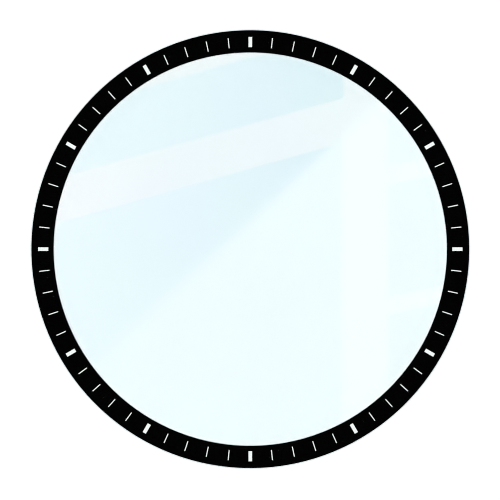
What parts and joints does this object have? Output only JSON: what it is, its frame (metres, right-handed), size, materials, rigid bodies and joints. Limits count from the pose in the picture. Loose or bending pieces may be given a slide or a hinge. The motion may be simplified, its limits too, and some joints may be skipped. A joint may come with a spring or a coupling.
{
  "type": "smartwatch screen protector",
  "caption": "Round laminated glass screen protector for a smartwatch, with a curved shoulder, a black printed border, a white minute scale and a peel-off liner.",
  "frame": {"origin": "centre of the release liner's underside, on the disc's axis, on the surface that the part lies on", "axes": "+Z along the disc's axis, out of the glass's outer face towards the person who looks at the watch; +Y from the centre to the mark at twelve o'clock; +X to the mark at three o'clock"},
  "size_m": [0.0395, 0.0394, 0.0006],
  "materials": {
    "cover_glass": "tempered soda-lime glass, polished, with a ground and polished shoulder",
    "black_ink": "screen-printed black glass ink, seen through the glass",
    "white_ink": "screen-printed white glass ink, seen through the glass",
    "lamination_adhesive": "optically clear acrylic adhesive",
    "shatter_film": "clear polyester film",
    "mounting_adhesive": "clear silicone adhesive",
    "release_liner": "clear polyester sheet with a silicone release coat"
  },
  "bodies": {
    "liner": {"release_liner": "release_liner"},
    "protector": {"cover_glass": "cover_glass", "border_print": "black_ink", "lamination_adhesive": "lamination_adhesive", "shatter_film": "shatter_film", "mounting_adhesive": "mounting_adhesive", "hour_mark_1": "white_ink", "hour_mark_2": "white_ink", "hour_mark_3": "white_ink", "hour_mark_4": "white_ink", "hour_mark_5": "white_ink", "hour_mark_6": "white_ink", "hour_mark_7": "white_ink", "hour_mark_8": "white_ink", "hour_mark_9": "white_ink", "hour_mark_10": "white_ink", "hour_mark_11": "white_ink", "hour_mark_12": "white_ink", "minute_marks_1": "white_ink", "minute_marks_2": "white_ink", "minute_marks_3": "white_ink", "minute_marks_4": "white_ink", "minute_marks_5": "white_ink", "minute_marks_6": "white_ink", "minute_marks_7": "white_ink", "minute_marks_8": "white_ink", "minute_marks_9": "white_ink", "minute_marks_10": "white_ink", "minute_marks_11": "white_ink", "minute_marks_12": "white_ink"}
  },
  "joints": [
    {"name": "protector_lift", "type": "slide", "parent": "liner", "child": "protector", "axis": [0, 0, 1], "range_m": [0, 0.02]}
  ]
}
